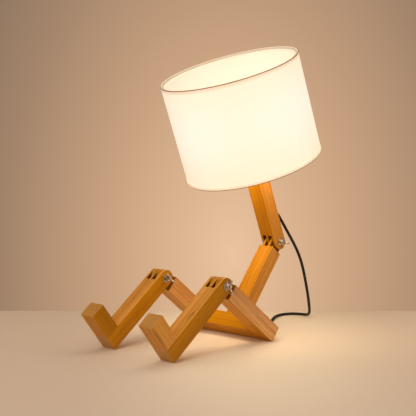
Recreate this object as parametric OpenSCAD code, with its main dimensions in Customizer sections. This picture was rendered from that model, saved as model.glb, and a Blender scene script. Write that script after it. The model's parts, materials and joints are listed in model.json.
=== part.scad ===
// Desk lamp in the shape of a small seated figure, made of wooden bars.
// Knees and neck are finger joints clamped by a bolt and a wing nut, so the
// figure can be posed; thighs, crossbar and spine are one glued frame.
// The figure faces -Y, its left hand is at +X, and it sits on z = 0.
// Units are millimetres.

/* [Wooden bars] */
// Width of every bar, across the figure
bar_w = 30; // [25:1:40]
// Thickness of every bar, front to back
bar_h = 26; // [22:1:32]
// Small chamfer along the long edges of the bars
bar_chamfer = 0.8; // [0.4:0.2:2]
// Thigh, from the corner it sits on to the knee bolt
thigh_len = 147; // [120:1:180]
// Shin, from the sole to the knee bolt
shin_len = 147; // [120:1:180]
// Spine, from the crossbar to the neck bolt
spine_len = 152; // [120:1:180]
// Neck, from the neck bolt to its top end
neck_len = 148; // [120:1:180]
// Distance between the middles of the two legs
leg_spacing = 133; // [100:1:160]
// Depth of the crossbar, measured along the thighs
crossbar_d = 30; // [28:1:40]
// Foot, from the back of the heel to the tip of the toes
foot_len = 72; // [55:1:100]
// Thickness of the foot
foot_t = 26; // [18:1:34]

/* [Pose] */
// How steeply the thighs rise towards the knees, in degrees
seat_angle = 38; // [32:1:44]
// How far the neck leans forward from upright, in degrees
neck_angle = 21.5; // [10:1:30]

/* [Finger joints] */
// Bolt centre to the bottom of the slots and to the shoulders
shoulder = 17.5; // [17.5:0.5:24]
// Gap between two neighbouring fingers
finger_gap = 0.4; // [0.1:0.05:0.5]
// Diameter of the clamping bolts
bolt_d = 5; // [4:0.5:6]
// Radial play between a bolt and its bore
bolt_fit = 0.08; // [0.02:0.02:0.1]
// Diameter of the washers
washer_d = 14; // [12:1:18]
// Thickness of the washers
washer_t = 1; // [0.8:0.1:1.6]
// Diameter of the domed bolt heads
bolt_head_d = 10.5; // [8:0.5:12]
// Height of the domed bolt heads
bolt_head_h = 3.4; // [2.5:0.1:5]
// Length of bolt that shows past a wing nut
bolt_tail = 2.5; // [1:0.5:5]

/* [Wing nuts] */
// Wing nut, from tip to tip
nut_span = 24; // [20:1:30]
// Hub diameter at the foot of a wing nut
nut_hub_d = 10; // [9:0.5:12]
// Height of the hub
nut_hub_h = 6; // [5:0.5:8]
// Height of the wings above the washer
nut_wing_h = 11.5; // [9:0.5:14]
// Thickness of the wings
nut_wing_t = 2; // [1.5:0.1:3]

/* [Dowels] */
// Diameter of the dowels that hold hips and spine
dowel_d = 8; // [6:1:10]
// Length of those dowels
dowel_len = 36; // [30:2:40]
// Diameter of the dowels that hold the feet
foot_dowel_d = 6; // [5:1:8]
// Length of those dowels
foot_dowel_len = 34; // [28:2:38]
// Distance between the two dowels of a pair
dowel_pitch = 14; // [12:1:16]

/* [Lampholder] */
// Outer diameter of the threaded tube in the top of the neck
nipple_d = 10; // [9:0.5:12]
// Bore of that tube
nipple_bore = 6.6; // [6:0.2:7]
// Depth to which the tube sits in the neck
nipple_sunk = 16; // [12:1:22]
// Length of tube above the neck
nipple_up = 8; // [6:1:10]
// Outer diameter of the holder's cap
cap_d = 42; // [40:1:46]
// Height of the cap
cap_h = 26; // [24:1:30]
// Wall of the cap and the shell
holder_wall = 2; // [1.6:0.2:3]
// Outer diameter of the holder's shell
shell_d = 39; // [37:0.5:40]
// Length of the shell above the cap
shell_h = 30; // [28:1:34]
// Thickness of the insulating disc inside
disc_t = 5; // [4:0.5:7]
// Wall of the threaded sleeve
sleeve_t = 0.8; // [0.5:0.1:1.2]
// Diameter of the push bar of the switch
switch_bar_d = 6; // [5:0.5:8]
// Radial play of that bar in its holes
switch_fit = 0.1; // [0.05:0.05:0.2]
// Travel of the bar to each side
switch_travel = 3; // [2:0.5:4]
// Diameter of the buttons on the ends of the bar
switch_button_d = 9; // [8:0.5:12]
// Thickness of those buttons
switch_button_t = 3; // [2:0.5:5]

/* [Bulb] */
// Largest diameter of the bulb
bulb_d = 60; // [50:1:65]
// Length of the bulb from the tip of its cap to its crown
bulb_len = 105; // [100:1:115]
// Diameter of the bulb's screw cap
bulb_cap_d = 26.4; // [26:0.1:27]
// Length of the bulb's screw cap
bulb_cap_h = 25; // [22:1:27]
// Wall of the bulb
bulb_wall = 1.2; // [0.8:0.1:2]
// Radial play of the bulb's cap in the threaded sleeve
bulb_fit = 0.35; // [0.3:0.05:0.5]

/* [Shade] */
// Outer diameter of the drum shade
shade_d = 232; // [200:2:260]
// Height of the shade
shade_h = 169; // [150:2:190]
// Neck bolt to the lower rim of the shade, along the neck
shade_from_pivot = 144; // [130:0.5:147]
// Thickness of the lined fabric
shade_wall = 1.2; // [0.8:0.1:2]
// Thickness of the tape folded over each rim
hem_t = 0.6; // [0.4:0.1:1]
// Height of that tape
hem_h = 6; // [4:0.5:10]
// Diameter of the wire rings in the rims
wire_d = 3; // [2:0.5:4]
// Diameter of the three arms that carry the shade
arm_d = 3; // [2.5:0.5:5]
// Width of the fitter ring that lies round the holder
fitter_w = 5; // [4:0.5:8]
// Thickness of the fitter ring
fitter_t = 2; // [1.5:0.5:4]
// Height of the screwed ring that clamps the fitter
ring_h = 6; // [4:0.5:10]
// Outer diameter of the screwed ring
ring_d = 54; // [50:1:60]

/* [Cord] */
// Diameter of the mains lead
cord_d = 5; // [4.5:0.1:5.4]
// Neck bolt to the hole that the lead comes out of, along the neck
exit_from_pivot = 60; // [50:1:65]
// How far the hole points below level, in degrees
exit_down = 36; // [25:1:38]
// Length of the tapered rubber sleeve at the hole
relief_len = 20; // [20:1:30]
// Diameter of that sleeve at the hole
relief_d1 = 9; // [8:0.5:12]
// Diameter of that sleeve at its tip
relief_d2 = 6.4; // [6:0.2:8]
// Loops of the coil in each of its two layers
coil_turns = 3.5; // [3:0.5:3.5]
// Distance between neighbouring turns of the coil
coil_pitch = 5.5; // [5.45:0.05:6]
// Inner radius of the coil, to the middle of the lead
coil_inner = 20.5; // [20:0.5:24]

/* [Plug] */
// Width of the plug across its pins
plug_w = 34; // [33:1:36]
// Thickness of the plug
plug_t = 14; // [13:0.5:16]
// Length of the plug's body
plug_len = 38; // [35:1:45]
// Diameter of the pins
pin_d = 4; // [3.9:0.1:4.1]
// Length of the pins
pin_len = 19; // [18:0.5:19.5]
// Distance between the pins
pin_pitch = 19; // [17:0.5:19.5]
// Diameter of the pins' roots inside the body
pin_root_d = 3; // [2:0.5:3.5]
// Length of those roots
pin_root = 8; // [6:1:12]

/* [Hidden] */
$fn = 64;
e = 0.01;                       // overlap of cutting tools
big_fn = 128;

// Directions in the side view, as [back, up]
thigh_dir = [-cos(seat_angle), sin(seat_angle)];
thigh_up = [sin(seat_angle), cos(seat_angle)];
neck_dir = [-sin(neck_angle), cos(neck_angle)];
neck_back = [cos(neck_angle), sin(neck_angle)];

// Pivots and the shins' slope, with the hip corner at [0, 0] and the heels on z = 0
knee_side = thigh_len * thigh_dir + bar_h / 2 * thigh_up;
shin_angle = asin(knee_side[1] / norm([shin_len, bar_h / 2])) - atan(bar_h / 2 / shin_len);
shin_dir = [-cos(shin_angle), -sin(shin_angle)];
shin_front = [-sin(shin_angle), cos(shin_angle)];
spine_foot = crossbar_d / 2 * thigh_dir + bar_h * thigh_up;
neck_side = spine_foot + spine_len * thigh_up;
rim_side = neck_side + shade_from_pivot * neck_dir;

// The figure is centred front to back on the origin
toe_y = knee_side[0] + shin_len * shin_dir[0] + (foot_len - bar_h / 2) * shin_front[0];
rim_y = rim_side[0] + shade_d / 2 * neck_back[0];
shift_y = -(toe_y + rim_y) / 2;

leg_x = leg_spacing / 2;
crossbar_len = leg_spacing - bar_w;
finger_w = bar_w / 5;
contact_gap = 0.2;              // between the bulb's tip and its contact

// Clamping hardware along X, from the middle of a bar
washer_x = bar_w / 2;
nut_x = washer_x + washer_t;
bolt_end_x = nut_x + nut_hub_h + bolt_tail;

// Heights along the neck's axis, from the neck bolt
holder_z = neck_len;
shell_z = holder_z + cap_h;
flange_z = shell_z + 5;
fitter_z = flange_z + 2;
ring_z = fitter_z + fitter_t;
bulb_z = shell_z + disc_t + 2;
bulb_top = bulb_z + bulb_len;
switch_z = holder_z + 16;
shade_top = shade_from_pivot + shade_h;
wire_z = shade_from_pivot + wire_d / 2 + 1;

// Lead: where it leaves the neck, and where its sleeve ends
exit_dir = [cos(exit_down), -sin(exit_down)];
exit_slant = neck_angle + exit_down;
way_out = bar_h / 2 / cos(exit_slant);
turn_z = exit_from_pivot + bar_h / 2 * tan(exit_slant);
lead_bend = 4 * cord_d;
lead_turn = 90 - exit_slant;
lead_reach = lead_bend * tan(lead_turn / 2);
lead_steps = 6;
relief_root = relief_d1 / 2 * tan(exit_slant) + 1;
bend_z = turn_z + lead_reach;
exit_side = neck_side + exit_from_pivot * neck_dir + bar_h / 2 * neck_back;
tip_side = exit_side + relief_len * exit_dir;
relief_tip = [0, tip_side[0] + shift_y, tip_side[1]];
relief_run = [0, exit_dir[0], exit_dir[1]];

// Route of the hanging lead and its run to the coil, chosen by hand
drop_points = [
    relief_tip + 0.2 * relief_run,
    relief_tip + 6 * relief_run,
    [0, 170.2, 186], [0, 179.6, 174.6], [0, 189.2, 162.7], [0, 199.2, 150.4],
    [0, 209.4, 137.2], [0, 219.3, 122.4], [0, 228, 105.6], [0, 235, 87], [0, 241, 67],
    [-0.5, 247.3, 46], [-2.5, 253.3, 28],
    [-7, 260.5, 14.5], [-14.5, 267.5, 6.5], [-25, 272.5, 3.3], [-38, 273, 2.6],
    [-50, 267, 2.5], [-57.5, 255, 2.5], [-59, 240, 2.5], [-54.5, 222, 2.5], [-46, 206, 2.6],
    [-35.5, 190.5, 2.8], [-27, 176, 3.1], [-23, 165, 3.3],
];
// Coil: it lies on its tie, which lifts it a little
coil_at = [-62, 146];
tie_t = 0.7;
coil_z = cord_d / 2 + tie_t + 0.1;
coil_outer = coil_inner + coil_turns * coil_pitch;
coil_rise = cord_d + 0.55;
coil_start = [coil_at[0] + coil_outer, coil_at[1], coil_z];
coil_end = [coil_at[0] + coil_outer, coil_at[1], coil_z + coil_rise];
drop_end = coil_start + [0, cord_d, 0];
drop_route = concat(drop_points, [drop_end + [0, cord_d, 0], drop_end]);
// Run from the coil to the plug
plug_at = [-70, 84, plug_t / 2];
tail_points = [
    coil_end - [0, cord_d, 0],
    coil_end - [0, 2 * cord_d, 0],
    [-23.5, 122, 7.4], [-26, 108, 6.4], [-33.5, 95.5, 6.2], [-45, 87, 6.8],
    plug_at + [14, 0, 0],
    plug_at + [8, 0, 0],
];

wood = [0.80, 0.52, 0.24];
dark_wood = [0.66, 0.40, 0.17];
steel = [0.75, 0.75, 0.73];
brass = [0.78, 0.64, 0.33];
black = [0.06, 0.06, 0.06];
white = [0.93, 0.92, 0.88];
linen = [0.99, 0.95, 0.86];

// ---- Places ------------------------------------------------------------

// Puts children at a point of the side view, turned about X
module in_side(at, turn, x = 0) {
    translate([x, at[0] + shift_y, at[1]])
        rotate([turn, 0, 0])
            children();
}

// Local z runs up the thigh from the hip end, local y to its upper side
module on_thigh(x) {
    in_side(bar_h / 2 * thigh_up, 90 - seat_angle, x)
        children();
}

// Local z runs down the shin from the knee bolt, local y to its front
module on_shin(x) {
    in_side(knee_side, 90 + shin_angle, x)
        children();
}

// Local z runs up the spine from the crossbar
module on_spine() {
    in_side(spine_foot, -seat_angle)
        children();
}

// Local z runs up the neck from the neck bolt, local y to its back
module on_neck() {
    in_side(neck_side, neck_angle)
        children();
}

// A cylinder along X between two places
module rod_x(x0, x1, d) {
    translate([x0, 0, 0])
        rotate([0, 90, 0])
            cylinder(d = d, h = x1 - x0);
}

// ---- Wooden bars -------------------------------------------------------

// Section of a bar with its four chamfered corners
module bar_section(w, h) {
    c = bar_chamfer;
    polygon([[-w / 2 + c, -h / 2], [w / 2 - c, -h / 2], [w / 2, -h / 2 + c],
             [w / 2, h / 2 - c], [w / 2 - c, h / 2], [-w / 2 + c, h / 2],
             [-w / 2, h / 2 - c], [-w / 2, -h / 2 + c]]);
}

// A bar along z with one end rounded about a bolt at z = pivot
module rounded_bar(length, pivot) {
    intersection() {
        translate([0, 0, pivot - bar_h])
            linear_extrude(length + 2 * bar_h)
                bar_section(bar_w, bar_h);
        rotate([90, 0, 90])
            translate([0, 0, -bar_w / 2])
                linear_extrude(bar_w)
                    union() {
                        translate([0, pivot])
                            circle(d = bar_h, $fn = big_fn);
                        translate([-bar_h / 2, pivot])
                            square([bar_h, length]);
                    }
    }
}

// Cut of one slot between fingers, open beyond the rounded end at z = 0
module slot_cut(x0, x1) {
    translate([x0, -bar_h / 2 - 1, -bar_h / 2 - 1])
        cube([x1 - x0, bar_h + 2, bar_h / 2 + 1 + shoulder]);
}

module bolt_bore() {
    rod_x(-bar_w / 2 - 1, bar_w / 2 + 1, bolt_d + 2 * bolt_fit);
}

// End of a bar with three fingers and two slots; the bolt is at z = 0
module three_fingers(length) {
    difference() {
        rounded_bar(length, 0);
        for (side = [-1, 1])
            slot_cut(side * finger_w - finger_w / 2, side * finger_w + finger_w / 2);
        bolt_bore();
    }
}

// End of a bar with two fingers that fit those slots; the bolt is at z = 0
module two_fingers(length) {
    inner = finger_w / 2 + finger_gap;
    outer = finger_w * 1.5 - finger_gap;
    difference() {
        rounded_bar(length, 0);
        slot_cut(-inner, inner);
        slot_cut(-bar_w / 2 - 1, -outer);
        slot_cut(outer, bar_w / 2 + 1);
        bolt_bore();
    }
}

// Pair of dowels along z, centred on z = 0
module dowel_pair(d, length, pitch) {
    for (side = [-1, 1])
        translate([side * pitch / 2, 0, -length / 2])
            cylinder(d = d, h = length);
}

// Dowels between a thigh and the crossbar, side = 1 for the figure's left
module hip_dowel_pair(side) {
    translate([side * (leg_x - bar_w / 2), 0, crossbar_d / 2])
        rotate([0, 90, 0])
            dowel_pair(dowel_d, dowel_len, dowel_pitch);
}

module foot_dowel_pair() {
    translate([0, bar_h / 2, shin_len - foot_t / 2])
        rotate([-90, 0, 0])
            dowel_pair(foot_dowel_d, foot_dowel_len, dowel_pitch);
}

module spine_dowel_pair() {
    dowel_pair(dowel_d, dowel_len, dowel_pitch);
}

module thigh(side) {
    color(wood)
        difference() {
            on_thigh(side * leg_x)
                translate([0, 0, thigh_len])
                    rotate([180, 0, 0])
                        two_fingers(thigh_len);
            on_thigh(0)
                hip_dowel_pair(side);
        }
}

module crossbar() {
    color(wood)
        difference() {
            on_thigh(0)
                translate([-crossbar_len / 2, 0, crossbar_d / 2])
                    rotate([90, 0, 90])
                        linear_extrude(crossbar_len)
                            bar_section(bar_h, crossbar_d);
            on_thigh(0)
                for (side = [-1, 1])
                    hip_dowel_pair(side);
            on_spine()
                spine_dowel_pair();
        }
}

module spine() {
    color(wood)
        difference() {
            on_spine()
                translate([0, 0, spine_len])
                    rotate([180, 0, 0])
                        two_fingers(spine_len);
            on_spine()
                spine_dowel_pair();
        }
}

module hip_dowels() {
    color(dark_wood)
        on_thigh(0)
            for (side = [-1, 1])
                hip_dowel_pair(side);
}

module spine_dowels() {
    color(dark_wood)
        on_spine()
            spine_dowel_pair();
}

module shin(side) {
    color(wood)
        on_shin(side * leg_x)
            difference() {
                three_fingers(shin_len);
                foot_dowel_pair();
            }
}

module foot(side) {
    color(wood)
        on_shin(side * leg_x)
            difference() {
                translate([0, bar_h / 2, shin_len - foot_t / 2])
                    rotate([-90, 0, 0])
                        linear_extrude(foot_len - bar_h)
                            bar_section(bar_w, foot_t);
                foot_dowel_pair();
            }
}

module foot_dowels(side) {
    color(dark_wood)
        on_shin(side * leg_x)
            foot_dowel_pair();
}

module neck_post() {
    color(wood)
        on_neck()
            difference() {
                three_fingers(neck_len);
                translate([0, 0, neck_len - nipple_sunk])
                    cylinder(d = nipple_d, h = nipple_sunk + 1);
                lead_way(cord_d + 0.6);
            }
}

// ---- Clamping hardware -------------------------------------------------

// Bolt along X with a domed head on the figure's right
module bolt() {
    color(steel) {
        rod_x(-nut_x, bolt_end_x, bolt_d);
        translate([-nut_x, 0, 0])
            rotate([0, -90, 0])
                bolt_head();
    }
}

// Domed head: a short rim and a spherical cap, turned from its outline
module bolt_head() {
    r = bolt_head_d / 2;
    rim = 0.8;
    rise = bolt_head_h - rim;
    dome = (r * r + rise * rise) / (2 * rise);
    edge = asin(r / dome);
    rotate_extrude()
        polygon(concat([[0, 0], [r, 0]],
                       [for (i = [0:7])
                           [dome * sin(edge * (1 - i / 7)),
                            rim + rise - dome + dome * cos(edge * (1 - i / 7))]]));
}

module washer_pair() {
    color(steel)
        for (x0 = [-nut_x, washer_x])
            difference() {
                rod_x(x0, x0 + washer_t, washer_d);
                rod_x(x0 - 1, x0 + washer_t + 1, bolt_d);
            }
}

// Wing nut along X: a tapered hub and two rounded wings
module wing_nut() {
    color(steel)
        translate([nut_x, 0, 0])
            rotate([0, 90, 0])
                difference() {
                    union() {
                        cylinder(d1 = nut_hub_d, d2 = nut_hub_d - 1.6, h = nut_hub_h);
                        for (side = [0, 180])
                            rotate([0, 0, side])
                                nut_wing();
                    }
                    translate([0, 0, -1])
                        cylinder(d = bolt_d + 2 * bolt_fit, h = nut_wing_h + 2);
                }
}

// One wing: a round ear on a neck that rises from the hub
module nut_wing() {
    ear = 3.6;
    reach = nut_span / 2 - ear;
    rotate([90, 0, 0])
        translate([0, 0, -nut_wing_t / 2])
            linear_extrude(nut_wing_t)
                union() {
                    polygon([[2.2, 0.6], [nut_hub_d / 2 - 0.4, 0.6],
                             [reach + ear * cos(-40), nut_wing_h - ear + ear * sin(-40)],
                             [reach - ear * cos(-40), nut_wing_h - ear - ear * sin(-40)],
                             [2.2, nut_hub_h]]);
                    translate([reach, nut_wing_h - ear])
                        circle(r = ear, $fn = 48);
                }
}

module knee_bolt(side) {
    on_shin(side * leg_x)
        bolt();
}

module knee_washers(side) {
    on_shin(side * leg_x)
        washer_pair();
}

// The wings stand in line with the shin, turned a little
module knee_wing_nut(side) {
    on_shin(side * leg_x)
        rotate([side > 0 ? 52 : 100, 0, 0])
            wing_nut();
}

module neck_bolt() {
    on_neck()
        bolt();
}

module neck_washers() {
    on_neck()
        washer_pair();
}

module neck_wing_nut() {
    on_neck()
        rotate([53, 0, 0])
            wing_nut();
}

// ---- Lampholder and bulb -----------------------------------------------

// A ring or tube about the neck's axis
module tube_z(z0, h, d, bore) {
    translate([0, 0, z0])
        difference() {
            cylinder(d = d, h = h);
            translate([0, 0, -1])
                cylinder(d = bore, h = h + 2);
        }
}

module holder_nipple() {
    color(steel)
        on_neck()
            tube_z(neck_len - nipple_sunk, nipple_sunk + nipple_up, nipple_d, nipple_bore);
}

// Cap: a cup that widens from the neck to the shell, with holes for the bar
module holder_cap() {
    r = cap_d / 2;
    floor_t = 3;
    color(black)
        on_neck()
            difference() {
                translate([0, 0, holder_z])
                    rotate_extrude($fn = big_fn)
                        polygon([[nipple_d / 2, 0], [r - 8, 0], [r - 3, 3], [r, 9],
                                 [r, cap_h], [r - holder_wall, cap_h],
                                 [r - holder_wall, 9.6], [r - holder_wall - 2.4, 4.8],
                                 [r - 8.8, floor_t], [nipple_d / 2, floor_t]]);
                translate([0, 0, switch_z])
                    rod_x(-r - 1, r + 1, switch_bar_d + 2 * switch_fit);
            }
}

// Shell: a tube with a flange that the fitter rests on
module holder_shell() {
    r = shell_d / 2;
    top = shell_h;
    flange = flange_z - shell_z;
    color(black)
        on_neck()
            translate([0, 0, shell_z])
                rotate_extrude($fn = big_fn)
                    polygon([[r - holder_wall, 0], [cap_d / 2, 0], [cap_d / 2, flange],
                             [cap_d / 2 + 2, flange], [cap_d / 2 + 2, flange + 2],
                             [r, flange + 2], [r, top - 1], [r - 1, top],
                             [r - holder_wall, top]]);
}

// Disc with the middle contact of the lampholder
module holder_disc() {
    color(white)
        on_neck() {
            translate([0, 0, shell_z])
                cylinder(r = shell_d / 2 - holder_wall, h = disc_t);
            translate([0, 0, shell_z + disc_t])
                cylinder(d = 8, h = bulb_z - shell_z - disc_t - contact_gap);
        }
}

// Threaded sleeve that grips the bulb's cap
module holder_sleeve() {
    color(brass)
        on_neck()
            tube_z(shell_z + disc_t, shell_h - disc_t - 3,
                   bulb_cap_d + 2 * bulb_fit + 2 * sleeve_t, bulb_cap_d + 2 * bulb_fit);
}

module holder_ring() {
    color(black)
        on_neck()
            difference() {
                tube_z(ring_z, ring_h, ring_d, shell_d);
                for (a = [0:30:330])
                    rotate([0, 0, a])
                        translate([ring_d / 2 + 0.8, 0, ring_z - 1])
                            cylinder(d = 4, h = ring_h + 2, $fn = 24);
            }
}

// Push bar of the switch, with a button on each end
module switch_bar() {
    reach = cap_d / 2 + switch_travel + 1;
    color(black)
        on_neck()
            translate([0, 0, switch_z]) {
                rod_x(-reach - e, reach + e, switch_bar_d);
                rod_x(reach, reach + switch_button_t, switch_button_d);
                rod_x(-reach - switch_button_t, -reach, switch_button_d);
            }
}

module bulb_cap() {
    color(steel)
        on_neck()
            translate([0, 0, bulb_z])
                rotate_extrude($fn = big_fn)
                    polygon([[0, 0], [5, 0], [bulb_cap_d / 2 - 3, 4], [bulb_cap_d / 2, 6],
                             [bulb_cap_d / 2, bulb_cap_h], [0, bulb_cap_h]]);
}

// Outline of the globe, from the screw cap to the crown, pulled in by a wall
function globe_outline(wall) =
    let (r = bulb_d / 2, throat = bulb_cap_d / 2, centre = bulb_len - r)
    concat(
        [[throat - wall, bulb_cap_h + wall]],
        [for (a = [-52:8:90])
            [max((r - wall) * cos(a), 0), centre + (r - wall) * sin(a)]]
    );

module bulb_globe() {
    color(white)
        on_neck()
            translate([0, 0, bulb_z])
                rotate_extrude($fn = big_fn)
                    polygon(concat(
                        [[0, bulb_cap_h]], [[bulb_cap_d / 2, bulb_cap_h]],
                        globe_outline(0),
                        [for (i = [len(globe_outline(0)) - 1:-1:0])
                            globe_outline(bulb_wall)[i]],
                        [[0, bulb_cap_h + bulb_wall]]));
}

// ---- Shade -------------------------------------------------------------

module shade_drum() {
    d = shade_d - 2 * hem_t;
    color(linen)
        on_neck()
            translate([0, 0, shade_from_pivot + hem_t])
                difference() {
                    cylinder(d = d, h = shade_h - 2 * hem_t, $fn = big_fn);
                    translate([0, 0, -1])
                        cylinder(d = d - 2 * shade_wall, h = shade_h + 2, $fn = big_fn);
                }
}

// Tape folded over a rim: a channel that opens upwards
module hem() {
    r = shade_d / 2;
    t = hem_t;
    inner = r - 2 * t - shade_wall;
    rotate_extrude($fn = big_fn)
        polygon([[inner, 0], [r, 0], [r, hem_h], [r - t, hem_h], [r - t, t],
                 [inner + t, t], [inner + t, hem_h], [inner, hem_h]]);
}

module shade_bottom_hem() {
    color(linen)
        on_neck()
            translate([0, 0, shade_from_pivot])
                hem();
}

module shade_top_hem() {
    color(linen)
        on_neck()
            translate([0, 0, shade_top])
                mirror([0, 0, 1])
                    hem();
}

// Wire ring that lies inside a rim
module rim_wire() {
    rotate_extrude($fn = big_fn)
        translate([shade_d / 2 - 2 * hem_t - shade_wall - wire_d / 2, 0])
            circle(d = wire_d, $fn = 16);
}

module shade_top_wire() {
    color(white)
        on_neck()
            translate([0, 0, shade_top - wire_d / 2 - 1])
                rim_wire();
}

module shade_bottom_wire() {
    color(white)
        on_neck()
            translate([0, 0, wire_z])
                rim_wire();
}

// Fitter: a ring round the holder and three arms down to the lower wire
module shade_fitter() {
    inner_r = shell_d / 2 + 0.2;
    ring_r = inner_r + fitter_w;
    wire_r = shade_d / 2 - 2 * hem_t - shade_wall - wire_d / 2;
    hub_z = fitter_z + fitter_t / 2;
    run = [wire_r - ring_r + 1, wire_z - hub_z];
    slope = atan2(run[0], run[1]);
    color(white)
        on_neck() {
            tube_z(fitter_z, fitter_t, 2 * ring_r, 2 * inner_r);
            for (a = [90, 210, 330])
                rotate([0, 0, a])
                    translate([ring_r - 1, 0, hub_z])
                        rotate([0, slope, 0])
                            cylinder(d = arm_d, h = norm(run) - wire_d / 2);
        }
}

// ---- Lead --------------------------------------------------------------

// Way of the lead inside the neck, in the neck's frame: down, round a bend, then out
module lead_way(d) {
    translate([0, 0, bend_z])
        cylinder(d = d, h = neck_len - bend_z);
    translate([0, lead_bend, bend_z])
        rotate([-90, 0, 0])
            rotate([0, 90, 0])
                rotate_extrude(angle = lead_turn)
                    translate([lead_bend, 0])
                        circle(d = d);
    translate([0, 0, turn_z])
        rotate([-90 - exit_slant, 0, 0])
            translate([0, 0, lead_reach])
                cylinder(d = d, h = way_out - lead_reach + d * tan(exit_slant));
}

// The lead in that way, from inside the lampholder to just short of the neck's back
module inner_lead() {
    end = way_out - cord_d / 2 * tan(exit_slant) - 0.3;
    route = concat(
        [[0, 0, neck_len + nipple_up + 2]],
        [for (k = [0:lead_steps])
            let (a = lead_turn * k / lead_steps)
            [0, lead_bend * (1 - cos(a)), bend_z - lead_bend * sin(a)]],
        [[0, end * cos(exit_slant), turn_z - end * sin(exit_slant)]]
    );
    color(black)
        on_neck()
            tube(route, cord_d / 2, 8, [1, 0, 0]);
}

// Rubber sleeve: its foot is cut to the slanting face of the neck
module cord_relief() {
    color(black)
        on_neck()
            difference() {
                translate([0, 0, turn_z])
                    rotate([-90 - exit_slant, 0, 0])
                        translate([0, 0, way_out - relief_root])
                            union() {
                                cylinder(d = relief_d1, h = relief_root);
                                translate([0, 0, relief_root])
                                    cylinder(d1 = relief_d1, d2 = relief_d2, h = relief_len);
                            }
                translate([-bar_w / 2, -bar_h / 2, 0])
                    cube([bar_w, bar_h, neck_len]);
            }
}

// Catmull-Rom point between p1 and p2
function spline(p0, p1, p2, p3, t) =
    0.5 * (2 * p1 + (p2 - p0) * t + (2 * p0 - 5 * p1 + 4 * p2 - p3) * t * t
           + (3 * p1 - p0 - 3 * p2 + p3) * t * t * t);

// A route with steps points between neighbouring hand-chosen points
function smooth_route(p, steps) =
    let (n = len(p) - 1)
    concat(
        [for (i = [0:n - 1], k = [0:steps - 1])
            spline(p[max(i - 1, 0)], p[i], p[i + 1], p[min(i + 2, n)], k / steps)],
        [p[n]]
    );

function unit(v) = v / norm(v);

// Direction of a route at its point i
function heading(p, i) = unit(p[min(i + 1, len(p) - 1)] - p[max(i - 1, 0)]);

// Length along a route
function route_len(p, i = 0) =
    i >= len(p) - 1 ? 0 : norm(p[i + 1] - p[i]) + route_len(p, i + 1);

// One unbroken tube along a route; across is never in line with the route
module tube(p, r, sides, across) {
    n = len(p);
    points = [for (i = [0:n - 1])
        each let (
            ahead = heading(p, i),
            sideways = unit(cross(ahead, across)),
            down = cross(ahead, sideways)
        )
        [for (k = [0:sides - 1])
            p[i] + r * (cos(360 * k / sides) * down + sin(360 * k / sides) * sideways)]];
    ends = [
        [for (k = [1:sides - 2]) [0, k, k + 1]],
        [for (k = [1:sides - 2]) [(n - 1) * sides, (n - 1) * sides + k + 1,
                                  (n - 1) * sides + k]]
    ];
    skin = [for (i = [0:n - 2], k = [0:sides - 1])
        let (a = i * sides + k, b = i * sides + (k + 1) % sides)
        each [[a, a + sides, b], [b, a + sides, b + sides]]];
    polyhedron(points, concat(ends[0], ends[1], skin), convexity = 10);
}

// Coil: in along the lower layer, up in the half turn where it turns round,
// and out along the upper layer, clockwise seen from above
function coil_point(turn) =
    let (
        half = coil_turns,
        r = coil_inner + coil_pitch * abs(half - turn),
        up = min(max((turn - half + 0.25) / 0.5, 0), 1)
    )
    [coil_at[0] + r * cos(-360 * turn), coil_at[1] + r * sin(-360 * turn),
     coil_z + coil_rise * up * up * (3 - 2 * up)];

coil_steps = 24;
coil_route = concat(
    [coil_start + [0, cord_d, 0]],
    [for (i = [0:2 * coil_turns * coil_steps]) coil_point(i / coil_steps)],
    [coil_end - [0, cord_d, 0]]
);

// Least gap of the coil to itself, between points at least half a turn apart
coil_gap = min([for (i = [0:len(coil_route) - 1],
                     j = [i + coil_steps / 2:1:len(coil_route) - 1])
                norm(coil_route[i] - coil_route[j])]) - cord_d;
drop_smooth = smooth_route(drop_route, 2);
tail_smooth = smooth_route(tail_points, 2);
echo(coil_gap = coil_gap);
echo(knee = [leg_x, knee_side[0] + shift_y, knee_side[1]],
     neck = [0, neck_side[0] + shift_y, neck_side[1]]);
echo(drop_mm = route_len(drop_smooth), coil_mm = route_len(coil_route),
     tail_mm = route_len(tail_smooth), rings = len(drop_smooth) + len(tail_smooth));

module cord_drop() {
    color(black)
        tube(drop_smooth, cord_d / 2, 8, [0.8, 0, 0.6]);
}

module cord_coil() {
    color(black)
        tube(coil_route, cord_d / 2, 6, [0, 0, 1]);
}

module cord_tail() {
    color(black)
        tube(tail_smooth, cord_d / 2, 8, [0, 0, 1]);
}

// Strap round all the turns on the side away from the lead's run
module coil_tie() {
    gap = 0.1;
    r0 = coil_inner - cord_d / 2 - 0.4;
    r1 = coil_outer + cord_d / 2 + 0.4;
    low = coil_z - cord_d / 2 - gap;
    high = coil_z + coil_rise + cord_d / 2 + gap;
    color(black)
        translate([coil_at[0], coil_at[1] + 3, 0])
            rotate([90, 0, 0])
                linear_extrude(6)
                    difference() {
                        translate([-r1 - tie_t, low - tie_t])
                            square([r1 - r0 + 2 * tie_t, high - low + 2 * tie_t]);
                        translate([-r1, low])
                            square([r1 - r0, high - low]);
                    }
}

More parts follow.
